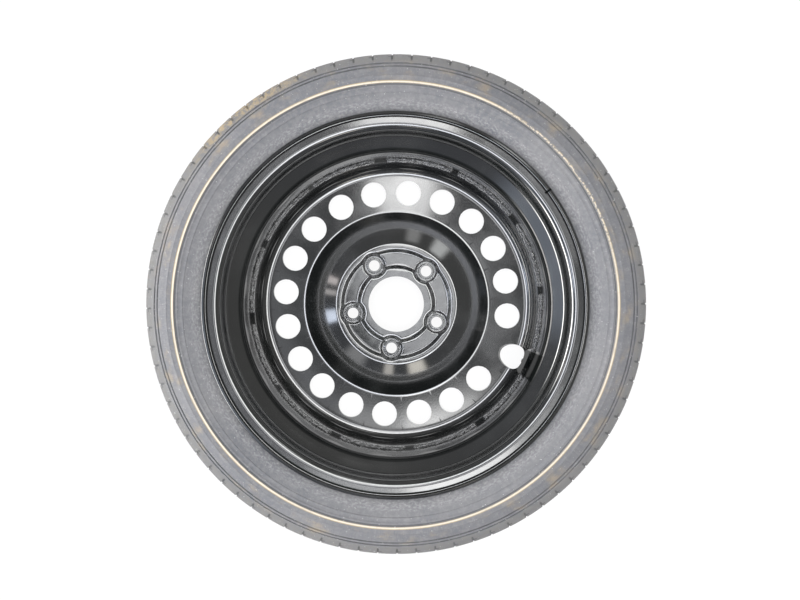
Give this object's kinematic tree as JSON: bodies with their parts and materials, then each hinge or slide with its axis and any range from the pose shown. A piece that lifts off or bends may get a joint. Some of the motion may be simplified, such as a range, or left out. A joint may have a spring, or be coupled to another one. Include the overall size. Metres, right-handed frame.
{
  "type": "space saver spare wheel",
  "caption": "Narrow temporary-use tyre on a welded black steel wheel with a vented pressed disc, bolt seats, a centre bore and a snap-in valve.",
  "frame": {"origin": "wheel's centre: on the axle line, at the rim's mid-plane", "axes": "+Z along the axle towards the inboard side that is pictured, +X towards the tyre valve; the wheel lies on its outboard sidewall"},
  "size_m": [0.582, 0.582, 0.126],
  "materials": {
    "tyre": "dusty grey-black rubber",
    "black_paint": "glossy black dip paint",
    "valve_rubber": "matt black",
    "brass": "turned brass",
    "plated_steel": "plated",
    "seal_ring": "white ring",
    "cap_plastic": "moulded"
  },
  "bodies": {
    "wheel": {"tyre": "tyre", "rim": "black_paint", "wheel_disc": "black_paint", "disc_weld": "black_paint", "valve_stem": "valve_rubber", "valve_insert": "brass", "core_body": "brass", "core_seal": "seal_ring", "core_spring": "plated_steel"},
    "valve_pin": {"core_pin": "plated_steel"},
    "cap_washer": {"cap_seal": "valve_rubber"},
    "cap": {"valve_cap": "cap_plastic"}
  },
  "joints": [
    {"name": "pin_press", "type": "slide", "parent": "wheel", "child": "valve_pin", "axis": [0.309, 0, 0.9511], "range_m": [0, 0.0015], "stiffness_N_per_m": 1500, "deforming": ["core_spring"]},
    {"name": "cap_rise", "type": "slide", "parent": "wheel", "child": "cap_washer", "axis": [-0.309, 0, -0.9511], "range_m": [0, 0.00397]},
    {"name": "cap_turn", "type": "hinge", "parent": "cap_washer", "child": "cap", "pos_m": [0.1931, 0, -0.02822], "axis": [-0.309, 0, -0.9511], "range_deg": [0, 1802]}
  ],
  "couplings": [
    {"joint": "cap_turn", "follows": "cap_rise", "rad_per_m": 7913.3}
  ]
}
